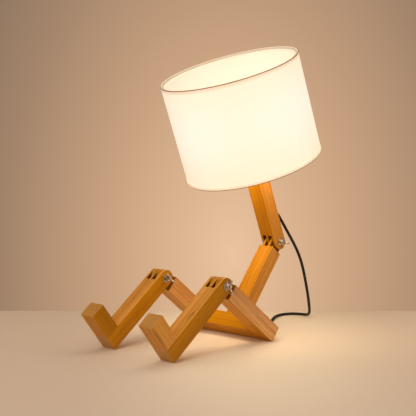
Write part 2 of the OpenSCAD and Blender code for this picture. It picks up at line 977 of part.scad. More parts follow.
// Flat two-pin plug: a body that narrows to a ribbed neck for the lead
module plug_body() {
    color(black)
        translate(plug_at)
            difference() {
                union() {
                    translate([0, 0, -plug_t / 2])
                        linear_extrude(plug_t)
                            polygon([[0, -7], [-12, -plug_w / 2 + 3], [-18, -plug_w / 2],
                                     [-plug_len + 2, -plug_w / 2],
                                     [-plug_len, -plug_w / 2 + 2],
                                     [-plug_len, plug_w / 2 - 2],
                                     [-plug_len + 2, plug_w / 2], [-18, plug_w / 2],
                                     [-12, plug_w / 2 - 3], [0, 7]]);
                    rod_x(-e, 8, 8.4);
                }
                for (x = [2, 5])
                    difference() {
                        rod_x(x, x + 1.2, 12);
                        rod_x(x - 1, x + 3, 7);
                    }
                for (side = [-1, 1])
                    translate([0, side * pin_pitch / 2, 0])
                        rod_x(-plug_len - 1, -plug_len + pin_root, pin_root_d);
            }
}

// Pins: a thin root in the body, the round pin and its bevelled tip
module plug_pins() {
    tip = 1;
    color(brass)
        translate(plug_at)
            for (side = [-1, 1])
                translate([-plug_len - pin_len, side * pin_pitch / 2, 0])
                    rotate([0, 90, 0])
                        rotate_extrude()
                            polygon([[0, 0], [pin_d / 2 - 0.8, 0], [pin_d / 2, tip],
                                     [pin_d / 2, pin_len], [pin_root_d / 2, pin_len],
                                     [pin_root_d / 2, pin_len + pin_root],
                                     [0, pin_len + pin_root]]);
}

// ---- The nodes ---------------------------------------------------------

thigh(1);  // left_thigh
thigh(-1);  // right_thigh
crossbar();
spine();
hip_dowels();
spine_dowels();
shin(1);  // left_shin
foot(1);  // left_foot
foot_dowels(1);  // left_foot_dowels
knee_bolt(1);  // left_knee_bolt
knee_washers(1);  // left_knee_washers
knee_wing_nut(1);  // left_wing_nut
shin(-1);  // right_shin
foot(-1);  // right_foot
foot_dowels(-1);  // right_foot_dowels
knee_bolt(-1);  // right_knee_bolt
knee_washers(-1);  // right_knee_washers
knee_wing_nut(-1);  // right_wing_nut
neck_post();
neck_bolt();
neck_washers();
neck_wing_nut();
holder_nipple();
holder_cap();
holder_shell();
holder_disc();
holder_sleeve();
holder_ring();
switch_bar();
bulb_cap();
bulb_globe();
shade_fitter();
shade_drum();
shade_top_hem();
shade_bottom_hem();
shade_top_wire();
shade_bottom_wire();
inner_lead();
cord_relief();
cord_drop();
cord_coil();
coil_tie();
cord_tail();
plug_body();
plug_pins();
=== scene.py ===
"""Looks of a posable wooden desk lamp that sits like a figure, under a lit drum shade.

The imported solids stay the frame: wooden bars, bolts, washers, lampholder, bulb, wires and fitter
keep their own meshes and get procedural finishes. The lead, its sleeve, the plug's body, the wing
nuts, and the shade's cloth, film and hems are made anew as surfaces worked out with numpy. All
lengths are in metres, in the row frame: +X is the figure's left, +Y its back, +Z up.
"""

import json
import logging
import math
from dataclasses import dataclass
from enum import Enum

import bpy
import numpy as np
from mathutils import Matrix

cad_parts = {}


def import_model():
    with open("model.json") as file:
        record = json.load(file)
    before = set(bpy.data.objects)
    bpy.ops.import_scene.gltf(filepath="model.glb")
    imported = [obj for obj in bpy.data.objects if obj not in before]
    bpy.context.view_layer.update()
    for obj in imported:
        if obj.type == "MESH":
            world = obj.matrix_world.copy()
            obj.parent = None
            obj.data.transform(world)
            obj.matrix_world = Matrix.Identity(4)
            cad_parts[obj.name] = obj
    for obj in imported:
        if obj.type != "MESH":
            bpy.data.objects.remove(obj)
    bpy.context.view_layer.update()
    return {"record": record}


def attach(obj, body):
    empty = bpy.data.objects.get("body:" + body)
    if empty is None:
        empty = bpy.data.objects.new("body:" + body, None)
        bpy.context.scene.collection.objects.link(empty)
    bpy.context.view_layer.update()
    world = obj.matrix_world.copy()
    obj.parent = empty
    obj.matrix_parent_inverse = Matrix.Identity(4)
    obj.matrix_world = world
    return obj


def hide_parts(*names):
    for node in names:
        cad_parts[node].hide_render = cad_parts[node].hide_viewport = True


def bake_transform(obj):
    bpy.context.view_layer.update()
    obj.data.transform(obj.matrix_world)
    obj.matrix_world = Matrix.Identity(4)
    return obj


LOG = logging.getLogger("lamp")
MM = 0.001
NECK_TO_MOUTH = 144 * MM  # from the neck bolt to the shade's lower rim
NECK_TO_GLOBE = 256 * MM  # and to the middle of the bulb's globe

Socket = bpy.types.NodeSocket
Values = dict[str | int, object]


# ---- Places ------------------------------------------------------------------------------------


@dataclass(frozen=True)
class Place:
    """A local frame: an origin and three axes at right angles, as rows of one array."""

    origin: np.ndarray
    axes: np.ndarray

    def at(self, points: np.ndarray) -> np.ndarray:
        """Move points of the local frame into the row frame.

        Args:
            points: Array whose last axis holds local x, y and z.

        Returns:
            The same points in the row frame: origin + x * X + y * Y + z * Z.
        """
        return self.origin + np.asarray(points, float) @ self.axes

    def shifted(self, x: float = 0.0, y: float = 0.0, z: float = 0.0) -> "Place":
        """Return the same frame moved along its own axes."""
        return Place(self.at(np.array([x, y, z])), self.axes)

    def turned(self, degrees: float) -> "Place":
        """Return the same frame turned about its own z axis."""
        a = math.radians(degrees)
        turn = np.array([[math.cos(a), math.sin(a), 0], [-math.sin(a), math.cos(a), 0], [0, 0, 1]])
        return Place(self.origin, turn @ self.axes)

    def euler(self) -> tuple[float, float, float]:
        """Return the turn of the frame as XYZ Euler angles, for a Mapping node."""
        return tuple(Matrix(self.axes.tolist()).transposed().to_euler("XYZ"))


def place_on(origin: np.ndarray, z: np.ndarray, x: np.ndarray) -> Place:
    """Build a frame from an origin, its z axis and a rough x axis.

    Args:
        origin: Origin in the row frame.
        z: Direction of the local z axis.
        x: Any direction that isn't along z; local x is its part across z.

    Returns:
        A right-handed frame.
    """
    z = np.asarray(z, float) / np.linalg.norm(z)
    x = np.asarray(x, float) - np.dot(x, z) * z
    x = x / np.linalg.norm(x)
    return Place(np.asarray(origin, float), np.array([x, np.cross(z, x), z]))


class Side(Enum):
    """The figure's own sides, as the sign of X."""

    LEFT = 1
    RIGHT = -1

    @property
    def word(self) -> str:
        """Return the side as it stands in node names."""
        return self.name.lower()


@dataclass(frozen=True)
class Figure:
    """The seated pose: where each bar lies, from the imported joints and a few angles."""

    knees: dict[Side, np.ndarray]
    neck: np.ndarray
    seat_angle: float = 38.0
    neck_angle: float = 21.5
    bar_w: float = 30 * MM
    bar_h: float = 26 * MM

    def slope(self, degrees: float) -> np.ndarray:
        """Return the direction in the side view that rises by an angle from +Y."""
        a = math.radians(degrees)
        return np.array([0.0, math.cos(a), math.sin(a)])

    def thigh(self, side: Side) -> Place:
        """Return the frame of a thigh: z runs up it from its knee bolt, backwards."""
        return place_on(self.knees[side], self.slope(180 - self.seat_angle), (1, 0, 0))

    def shin(self, side: Side) -> Place:
        """Return the frame of a shin: z runs down it from its knee bolt."""
        return place_on(self.knees[side], self.slope(180 + self.seat_angle), (1, 0, 0))

    def foot(self, side: Side) -> Place:
        """Return the frame of a foot: z runs from heel to toe, across the shin."""
        return place_on(self.knees[side], self.slope(90 + self.seat_angle), (1, 0, 0))

    def spine(self) -> Place:
        """Return the frame of the spine: z runs up it from the seat."""
        return place_on(self.neck, self.slope(90 - self.seat_angle), (1, 0, 0))

    def crossbar(self) -> Place:
        """Return the frame of the crossbar: z runs along X."""
        return place_on(self.neck, (1, 0, 0), self.slope(90 - self.seat_angle))

    def head(self) -> Place:
        """Return the frame of the head: z runs up the neck from its bolt, y to its back."""
        return place_on(self.neck, self.slope(90 + self.neck_angle), (1, 0, 0))


# ---- Meshes ------------------------------------------------------------------------------------


@dataclass
class Surface:
    """Points, faces and UV map of one shell, ready to be joined with others."""

    points: np.ndarray
    faces: list[np.ndarray]
    uv: np.ndarray


def grid(points: np.ndarray, close_rows: bool = False, close_columns: bool = False) -> Surface:
    """Skin a grid of points with quads.

    The quad of row i and column j joins points (i, j), (i, j+1), (i+1, j+1) and (i+1, j). A
    closed direction joins its last line to its first.

    Args:
        points: Array of rows, columns and 3.
        close_rows: Whether the last row joins the first.
        close_columns: Whether the last column joins the first.

    Returns:
        The surface, its UV running from 0 to 1 along columns and rows.
    """
    rows, columns = points.shape[:2]
    i = np.arange(rows if close_rows else rows - 1)[:, None]
    j = np.arange(columns if close_columns else columns - 1)[None, :]
    corners = [(i, j), (i, j + 1), (i + 1, j + 1), (i + 1, j)]
    quads = np.stack([(r % rows) * columns + c % columns for r, c in corners], -1)
    uv = [np.stack(np.broadcast_arrays(c / j.size, r / i.size), -1) for r, c in corners]
    return Surface(points.reshape(-1, 3), [quads.reshape(-1, 4)],
                   np.stack(uv, -2).reshape(-1, 2))


def merged(surfaces: list[Surface]) -> Surface:
    """Join shells into one surface, keeping each closed by itself.

    Args:
        surfaces: Shells with points, faces and UV maps.

    Returns:
        One surface whose faces count on through the shells.
    """
    start = np.cumsum([0] + [len(s.points) for s in surfaces[:-1]])
    faces = [face + offset for s, offset in zip(surfaces, start) for face in s.faces]
    uv = np.concatenate([s.uv for s in surfaces])
    return Surface(np.concatenate([s.points for s in surfaces]), faces, uv)


def make_piece(name: str, surface: Surface, body: str, smooth: bool = True) -> bpy.types.Object:
    """Make an object from a surface and let it ride on a body.

    Args:
        name: Name of the piece.
        surface: Its points and faces in the row frame.
        body: The CAD body that it moves with.
        smooth: Whether its faces are shaded smooth.

    Returns:
        The new object, at the origin.
    """
    mesh = bpy.data.meshes.new(name)
    loops = np.concatenate([face.ravel() for face in surface.faces])
    sizes = np.concatenate([np.full(len(face), face.shape[1]) for face in surface.faces])
    mesh.vertices.add(len(surface.points))
    mesh.vertices.foreach_set("co", surface.points.astype(np.float32).ravel())
    mesh.loops.add(len(loops))
    mesh.loops.foreach_set("vertex_index", loops.astype(np.int32))
    mesh.polygons.add(len(sizes))
    mesh.polygons.foreach_set("loop_start", (np.cumsum(sizes) - sizes).astype(np.int32))
    mesh.polygons.foreach_set("use_smooth", np.full(len(sizes), smooth))
    layer = mesh.uv_layers.new(name="UVMap")
    layer.data.foreach_set("uv", surface.uv.astype(np.float32).ravel())
    mesh.update(calc_edges=True)
    mesh.validate()
    piece = bpy.data.objects.new(name, mesh)
    bpy.context.scene.collection.objects.link(piece)
    if body:
        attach(piece, body)
    LOG.info("%s: %d faces on %s", name, len(mesh.polygons), body or "the stage")
    return piece


def revolve(profile: np.ndarray, steps: int, place: Place) -> Surface:
    """Turn a closed profile about the z axis of a place.

    A profile point (r, z) goes round the circle (r cos a, r sin a, z), a from 0 to 360 degrees.

    Args:
        profile: Closed outline of (r, z), anticlockwise with r to the right and z up.
        steps: Number of steps round.
        place: Frame whose z is the axis.

    Returns:
        A closed ring surface.
    """
    a = np.linspace(0, 2 * np.pi, steps, endpoint=False)[None, :]
    r, z = profile[:, 0:1], profile[:, 1:2]
    points = np.stack([r * np.cos(a), r * np.sin(a), z + 0 * a], -1)
    return grid(place.at(points), close_rows=True, close_columns=True)


def capped(points: np.ndarray) -> Surface:
    """Skin a tube of closed rings and shut both ends with one polygon each.

    Args:
        points: Array of rings, points round and 3; a ring turns right-handed about the way on.

    Returns:
        A closed surface.
    """
    skin = grid(points, close_columns=True)
    rings, around = points.shape[:2]
    first = np.arange(around)[::-1][None, :]
    last = (rings - 1) * around + np.arange(around)[None, :]
    flat = np.concatenate([skin.uv, np.zeros((2 * around, 2))])
    return Surface(skin.points, skin.faces + [first, last], flat)


def smooth_route(points: np.ndarray, steps: int) -> np.ndarray:
    """Run a Catmull-Rom curve through given points.

    Between p1 and p2 the point at t is half of 2 p1 + (p2 - p0) t + (2 p0 - 5 p1 + 4 p2 - p3) t^2
    + (3 p1 - p0 - 3 p2 + p3) t^3; the first and last points stand in for those before and after.

    Args:
        points: Array of points and 3.
        steps: Steps between neighbouring points.

    Returns:
        The route's points, the last one included.
    """
    ends = np.concatenate([points[:1], points, points[-1:]])
    p0, p1, p2, p3 = (ends[k : len(ends) - 3 + k, None, :] for k in range(4))
    t = (np.arange(steps) / steps)[None, :, None]
    curve = 2 * p1 + (p2 - p0) * t + (2 * p0 - 5 * p1 + 4 * p2 - p3) * t**2
    curve = 0.5 * (curve + (3 * p1 - p0 - 3 * p2 + p3) * t**3)
    return np.concatenate([curve.reshape(-1, 3), points[-1:]])


def along(route: np.ndarray) -> np.ndarray:
    """Return the unit direction of a route at each of its points."""
    step = np.gradient(route, axis=0)
    return step / np.linalg.norm(step, axis=1, keepdims=True)


def tube(route: np.ndarray, radius: np.ndarray | float, sides: int, across: tuple) -> Surface:
    """Carry a circle along a route.

    At each point the circle stands across the route's direction d, on the two axes d x across
    and d x (d x across).

    Args:
        route: Points that the middle of the tube follows.
        radius: One radius, or one for each point.
        sides: Points round the circle.
        across: A direction that is never in line with the route.

    Returns:
        A closed tube.
    """
    d = along(route)
    side = np.cross(d, np.array(across, float))
    side /= np.linalg.norm(side, axis=1, keepdims=True)
    up = np.cross(d, side)
    a = np.linspace(0, 2 * np.pi, sides, endpoint=False)[None, :, None]
    r = np.broadcast_to(np.asarray(radius, float), len(route))[:, None, None]
    ring = np.cos(a) * side[:, None, :] + np.sin(a) * up[:, None, :]
    return capped(route[:, None, :] + r * ring)


def rounded(outline: np.ndarray, radius: float, steps: int = 5) -> np.ndarray:
    """Round every corner of a closed outline with a quadratic curve.

    Each corner c becomes (1-t)^2 a + 2 t (1-t) c + t^2 b, where a and b lie on its two sides, a
    radius away or half the side if that is less.

    Args:
        outline: Corners of a closed outline, as (x, y).
        radius: Distance from a corner at which its curve starts.
        steps: Steps in each curve.

    Returns:
        The rounded outline.
    """
    corner = np.asarray(outline, float)
    back = np.roll(corner, 1, 0) - corner
    ahead = np.roll(corner, -1, 0) - corner
    reach_back = np.minimum(radius / np.linalg.norm(back, axis=1), 0.5)[:, None, None]
    reach_ahead = np.minimum(radius / np.linalg.norm(ahead, axis=1), 0.5)[:, None, None]
    t = np.linspace(0, 1, steps + 1)[None, :, None]
    c = corner[:, None, :]
    a, b = c + reach_back * back[:, None, :], c + reach_ahead * ahead[:, None, :]
    return ((1 - t) ** 2 * a + 2 * t * (1 - t) * c + t**2 * b).reshape(-1, 2)


def pillow(outline: np.ndarray, thickness: float, place: Place, rings: int = 7) -> Surface:
    """Make a flat plate with softly rounded rims from a closed outline.

    A ring at angle q shrinks towards the outline's middle by half the thickness times 1 - cos q
    and stands half the thickness times sin q above or below it, q from -90 to 90 degrees.

    Args:
        outline: Closed outline of (x, y), anticlockwise.
        thickness: Thickness of the plate.
        place: Frame in whose x-y plane the plate lies.
        rings: Rings from face to face.

    Returns:
        A closed surface.
    """
    q = np.linspace(-np.pi / 2, np.pi / 2, rings)[:, None, None]
    middle = outline.mean(0)
    out = outline - middle
    inward = 1 - 0.5 * thickness * (1 - np.cos(q)) / np.linalg.norm(out, axis=1)[None, :, None]
    flat = middle + out[None] * np.clip(inward, 0, 1)
    height = np.broadcast_to(0.5 * thickness * np.sin(q), flat.shape[:2] + (1,))
    return capped(place.at(np.concatenate([flat, height], -1)))


# ---- Node helpers ------------------------------------------------------------------------------


def linear(hex_colour: str) -> tuple[float, float, float, float]:
    """Turn an sRGB hex colour into linear red, green, blue and an alpha of 1.

    Args:
        hex_colour: Six hex digits after a hash.

    Returns:
        The linear colour: c / 12.92 up to 0.04045, else ((c + 0.055) / 1.055) ^ 2.4.
    """
    s = np.array([int(hex_colour[k : k + 2], 16) / 255 for k in (1, 3, 5)])
    c = np.where(s <= 0.04045, s / 12.92, ((s + 0.055) / 1.055) ** 2.4)
    return (*c.tolist(), 1.0)


@dataclass
class Tree:
    """A material or world under construction."""

    graph: bpy.types.NodeTree

    def feed(self, node: bpy.types.Node, inputs: Values) -> None:
        """Fill a node's inputs.

        Args:
            node: The node.
            inputs: Socket name or number to a value, or to the socket that feeds it.
        """
        for key, value in inputs.items():
            if isinstance(value, bpy.types.NodeSocket):
                self.graph.links.new(value, node.inputs[key])
            else:
                node.inputs[key].default_value = value

    def shade(self, inputs: Values) -> None:
        """Fill the inputs of the material's own Principled shader."""
        self.feed(self.graph.nodes["Principled BSDF"], inputs)

    def add(self, kind: str, inputs: Values | None = None, **settings: object) -> bpy.types.Node:
        """Add one node with its settings, its values and its links.

        Args:
            kind: Node type, without "ShaderNode".
            inputs: As for feed.
            settings: Attributes of the node.

        Returns:
            The new node.
        """
        node = self.graph.nodes.new("ShaderNode" + kind)
        for name, value in settings.items():
            setattr(node, name, value)
        self.feed(node, inputs or {})
        return node

    def math(self, operation: str, *values: Socket | float) -> Socket:
        """Return the result of a Math node, its operation done on the values in order."""
        return self.add("Math", dict(enumerate(values)), operation=operation).outputs[0]

    def vector(self, operation: str, *values: Socket | tuple) -> Socket:
        """Return the result of a Vector Math node, a vector or a plain number."""
        plain = operation in ("LENGTH", "DISTANCE", "DOT_PRODUCT")
        node = self.add("VectorMath", dict(enumerate(values)), operation=operation)
        return node.outputs["Value" if plain else "Vector"]

    def parts(self, vector: Socket) -> list[Socket]:
        """Return the x, y and z of a vector."""
        return list(self.add("SeparateXYZ", {0: vector}).outputs)

    def where(self) -> Socket:
        """Return the piece's own coordinates."""
        return self.add("TexCoord").outputs["Object"]

    def framed(self, where: Socket, middle: tuple, turn: tuple = (0, 0, 0),
               half: tuple = (1, 1, 1)) -> Socket:
        """Bring coordinates into a frame.

        Args:
            where: Coordinates.
            middle: The frame's origin.
            turn: Its turn, as XYZ Euler angles.
            half: How long its three units are.

        Returns:
            The same coordinates, seen from the frame.
        """
        return self.add("Mapping", {0: where, 1: middle, 2: turn, 3: half},
                        vector_type="TEXTURE").outputs[0]

    def local(self, place: Place) -> Socket:
        """Return the piece's coordinates in the frame of a place."""
        return self.framed(self.where(), tuple(place.origin), place.euler())

    def span(self, value: Socket, low: float, high: float, to_low: float = 0.0,
             to_high: float = 1.0, curve: str = "LINEAR") -> Socket:
        """Carry a value from one range to another, held at both ends.

        Args:
            value: The value.
            low: Start of its range.
            high: End of its range; below the start where the value falls.
            to_low: What the start becomes.
            to_high: What the end becomes.
            curve: LINEAR or SMOOTHSTEP.

        Returns:
            The new value.
        """
        ends = {0: value, 1: low, 2: high, 3: to_low, 4: to_high}
        return self.add("MapRange", ends, interpolation_type=curve).outputs[0]

    def mix(self, factor: Socket, a: Socket | str, b: Socket | str) -> Socket:
        """Return colour a where the factor is 0, b where it is 1; either may be a hex colour."""
        first, second = (linear(c) if isinstance(c, str) else c for c in (a, b))
        node = self.add("Mix", {"Factor": factor, "A": first, "B": second}, data_type="RGBA")
        return node.outputs["Result"]

    def noise(self, where: Socket, scale: float, detail: float = 2.0,
              roughness: float = 0.5) -> Socket:
        """Return the level of a noise, finer with a greater scale, crisper with more detail."""
        return self.add("TexNoise", {0: where, "Scale": scale, "Detail": detail,
                                     "Roughness": roughness}).outputs[0]

    def bump(self, strength: float, distance: float, height: Socket) -> Socket:
        """Return the normal of a surface with fine relief."""
        return self.add("Bump", {"Strength": strength, "Distance": distance,
                                 "Height": height}).outputs[0]

    def ramp(self, factor: Socket, stops: dict[float, str]) -> Socket:
        """Add a colour ramp.

        Args:
            factor: Socket that drives it.
            stops: Place from 0 to 1 to hex colour, in order.

        Returns:
            The ramp's colour.
        """
        node = self.add("ValToRGB", {0: factor})
        elements = node.color_ramp.elements
        while len(elements) < len(stops):
            elements.new(0.5)
        for element, (at, colour) in zip(elements, stops.items()):
            element.position = at
            element.color = linear(colour)
        return node.outputs[0]


def new_material(name: str) -> tuple[bpy.types.Material, Tree]:
    """Start a material with an empty Principled shader, and return it with its tree."""
    material = bpy.data.materials.new(name)
    material.use_nodes = True
    return material, Tree(material.node_tree)


def dress(piece: bpy.types.Object, material: bpy.types.Material) -> None:
    """Give a piece one material in place of any that it has."""
    if piece.data.materials:
        for k in range(len(piece.data.materials)):
            piece.data.materials[k] = material
    else:
        piece.data.materials.append(material)


def dress_node(node: str, material: bpy.types.Material) -> None:
    """Give a CAD node one material on its object's own slots."""
    for slot in bpy.data.objects[node].material_slots:
        slot.link = "OBJECT"
        slot.material = material
    LOG.info("%s: %s", node, material.name)


# ---- Finishes ----------------------------------------------------------------------------------


@dataclass(frozen=True)
class OiledHardwood:
    """Rubberwood, planed, sanded and oiled: honey coloured, with rings that show as bands along
    the bar and as arcs on its ends, short dark pores, chamfers painted a little paler as a
    highlight, and painted light and shade on its faces and in its finger joints."""

    pale: str = "#DDA152"
    mid: str = "#CF9143"
    deep: str = "#B97A31"
    pore: str = "#8A5420"
    end: str = "#B58C5C"
    heart: str = "#7C4A1C"
    ring: float = 5.0 * MM  # width of a year's growth, seen as a band
    fibre: float = 1.7 * MM  # real fibres are far finer; drawn as coarse as they need to show
    pore_w: float = 0.7 * MM
    chamfer: float = 1.6 * MM
    roughness: float = 0.46
    finger: float = 6 * MM
    slot: float = 17.5 * MM  # from a bolt to the bottom of the slots; below 0 for no slots

    def planed(self, tree: Tree, local: Socket, pith: tuple, marks: tuple
               ) -> tuple[Socket, Socket, Socket]:
        """Draw sawn and planed wood.

        Rings are waves of the distance from the pith, drawn out along the grain so that bands
        run with it. Fibres and pores are noise, squeezed across the grain.

        Args:
            tree: The material's tree.
            local: Coordinates in the bar's frame.
            pith: Where the tree's middle was, in the section, in metres.
            marks: Knots and dark streaks, as for material.

        Returns:
            The wood's colour, its roughness and its normal.
        """
        grown = tree.vector("ADD", local, (*pith, 0.0))
        drawn, thin, short = (tree.vector("MULTIPLY", grown, (1.0, 1.0, squeeze))
                              for squeeze in (0.07, 0.035, 0.10))
        rings = tree.add("TexWave", {0: drawn, "Scale": 2 * math.pi / (20 * self.ring),
                                     "Distortion": 7.0, "Detail": 3.0, "Detail Scale": 0.8,
                                     "Detail Roughness": 0.55},
                         wave_type="RINGS", rings_direction="Z").outputs["Fac"]
        fibres = tree.noise(thin, 0.5 / self.fibre, 4.0, 0.6)
        pores = tree.span(tree.noise(short, 0.5 / self.pore_w, 1.0), 0.60, 0.74)
        clouds = tree.noise(drawn, 32.0, 1.0)
        streak = tree.math("MULTIPLY_ADD", fibres, 0.40, tree.math("MULTIPLY", rings, 0.10))
        patch = tree.math("MULTIPLY_ADD", clouds, 0.55, streak)
        colour = tree.ramp(tree.span(patch, 0.36, 0.68),
                           {0.0: self.pale, 0.5: self.mid, 1.0: self.deep})
        for middle, half in marks:
            inside = tree.framed(local, tuple(v * MM for v in middle),
                                 half=tuple(v * MM for v in half))
            dark = tree.span(tree.vector("LENGTH", inside), 1.0, 0.3, 0.0, 0.75)
            colour = tree.mix(dark, colour, self.heart)
        colour = tree.mix(tree.math("MULTIPLY", pores, 0.35), colour, self.pore)
        rough = tree.span(streak, 0.0, 1.0, self.roughness - 0.08, self.roughness + 0.12)
        height = tree.math("MULTIPLY_ADD", pores, -0.5, fibres)
        return colour, rough, tree.bump(0.25, 0.15 * MM, height)

    def joint(self, tree: Tree, wide: Socket, deep: Socket, flank: Socket, end: Socket,
              half: float) -> Socket:
        """Find the inside of the finger joints, where painted shade darkens the wood.

        It is the walls of the slots, which look along X, their bottoms, which look along the
        grain, and the four edges between fingers, whose chamfers shade the gap.

        Args:
            tree: The material's tree.
            wide: Distance across the bar from its middle.
            deep: Distance along the bar from its bolt.
            flank: How far the face looks along X, from 0 to 1.
            end: Where the face looks along the grain.
            half: Half the bar's width.

        Returns:
            1 inside a joint, 0 elsewhere.
        """
        within = tree.span(wide, half - 0.4 * MM, half - 0.9 * MM)
        near_bolt = tree.span(deep, self.slot + 0.4 * MM, self.slot - 0.2 * MM)
        beyond = tree.span(deep, self.slot - 1.5 * MM, self.slot - 0.5 * MM)
        walls = tree.span(flank, 0.85, 0.95)
        bottoms = tree.math("MULTIPLY", end, beyond)
        fold = wide  # folded until all four edges lie at 0
        for step in (self.finger, self.finger / 2):
            fold = tree.math("ABSOLUTE", tree.math("SUBTRACT", fold, step))
        edges = tree.span(fold, 1.1 * MM, 0.6 * MM, 0.0, 0.9)
        inner = tree.math("MAXIMUM", tree.math("MAXIMUM", walls, bottoms), edges)
        return tree.math("MULTIPLY", tree.math("MULTIPLY", inner, within), near_bolt)

    def material(self, name: str, place: Place, size: tuple[float, float], pith: tuple,
                 faces: tuple[float, float] = (1.0, 1.0), marks: tuple = ()
                 ) -> bpy.types.Material:
        """Build the wood of one bar.

        Args:
            name: Name of the material.
            place: Frame of the bar, z along its grain.
            size: Width and height of the bar's section.
            pith: Where the tree's middle was, in the section, in metres.
            faces: How pale its faces are, and its flanks, which look along X: painted light and
                shade for how the light falls on each side of this bar.
            marks: Knots and dark streaks: the middle and half sizes of each, in millimetres in
                the bar's frame.

        Returns:
            The material.
        """
        material, tree = new_material(name)
        local = tree.local(place)
        wood, rough, bump = self.planed(tree, local, pith, marks)
        wide, tall, deep = (tree.math("ABSOLUTE", part) for part in tree.parts(local))
        normal = tree.add("TexCoord").outputs["Normal"]
        flank = tree.math("ABSOLUTE", tree.parts(normal)[0])
        # End grain drinks more oil: faces that look along the grain are duller and browner
        ahead = tree.vector("DOT_PRODUCT", normal, tuple(place.axes[2]))
        end = tree.span(tree.math("ABSOLUTE", ahead), 0.75, 0.98)
        far_off = tree.span(deep, self.slot, self.slot + 3 * MM, 0.0, 0.6)
        colour = tree.mix(tree.math("MULTIPLY", end, far_off), wood, self.end)
        # Chamfers: points far out across both sides of the section, painted paler as a highlight
        out = [tree.span(part, side / 2 - self.chamfer, side / 2 - 0.2 * MM)
               for part, side in zip((wide, tall), size)]
        edge_highlight = tree.math("MULTIPLY", tree.math("MULTIPLY", *out), 0.35)
        colour = tree.mix(edge_highlight, colour, self.pale)
        # Painted shade inside the finger joints: slot walls, slot bottoms and the seams between
        # fingers
        dark = self.joint(tree, wide, deep, flank, end, size[0] / 2)
        # Painted light and shade: faces and flanks paler or darker as light falls on each side,
        # times the joints' shade
        value = tree.math("MULTIPLY", tree.span(flank, 0.6, 0.8, *faces),
                          tree.span(dark, 0.0, 1.0, 1.0, 0.3))
        # Painted shade: where painted light and shade make the wood darker, it is made redder and
        # fuller
        full = tree.span(value, 0.75, 1.25, 1.25, 0.85)
        oiled = tree.add("HueSaturation", {"Hue": 0.504, "Saturation": full, "Value": value,
                                           "Color": colour}).outputs[0]
        tree.shade({"Base Color": oiled, "Roughness": rough, "Normal": bump, "IOR": 1.45,
                    "Specular IOR Level": 0.22})
        return material


@dataclass(frozen=True)
class PlatedMetal:
    """A metal under a thin plating: cloudy rather than mirror bright, with fine handling marks."""

    colour: str
    tarnish: str
    roughness: float
    cloud: float = 4 * MM

    def material(self, name: str) -> bpy.types.Material:
        """Build the metal and return it."""
        material, tree = new_material(name)
        where = tree.where()
        cloud = tree.span(tree.noise(where, 0.5 / self.cloud, 3.0), 0.35, 0.7)
        marks = tree.noise(where, 1 / MM)
        tree.shade({
            "Base Color": tree.mix(cloud, self.colour, self.tarnish),
            "Roughness": tree.span(marks, 0.3, 0.7, self.roughness - 0.07, self.roughness + 0.1),
            "Normal": tree.bump(0.15, 0.05 * MM, marks),
            "Metallic": 1.0,
        })
        return material


@dataclass(frozen=True)
class MouldedPlastic:
    """A moulded plastic or rubber: one even colour, an orange-peel skin and softer scuffs."""

    colour: str
    scuff: str
    roughness: float
    grain: float = 0.9 * MM
    relief: float = 0.04 * MM

    def material(self, name: str) -> bpy.types.Material:
        """Build the plastic and return it."""
        material, tree = new_material(name)
        where = tree.where()
        scuffs = tree.noise(where, 90.0, 5.0, 0.65)
        tree.shade({
            "Base Color": tree.mix(tree.span(scuffs, 0.5, 0.75, 0.0, 0.6), self.colour,
                                   self.scuff),
            "Roughness": tree.span(scuffs, 0.3, 0.7, self.roughness - 0.05,
                                   self.roughness + 0.12),
            "Normal": tree.bump(0.3, self.relief, tree.noise(where, 1 / self.grain)),
            "IOR": 1.5,
        })
        return material


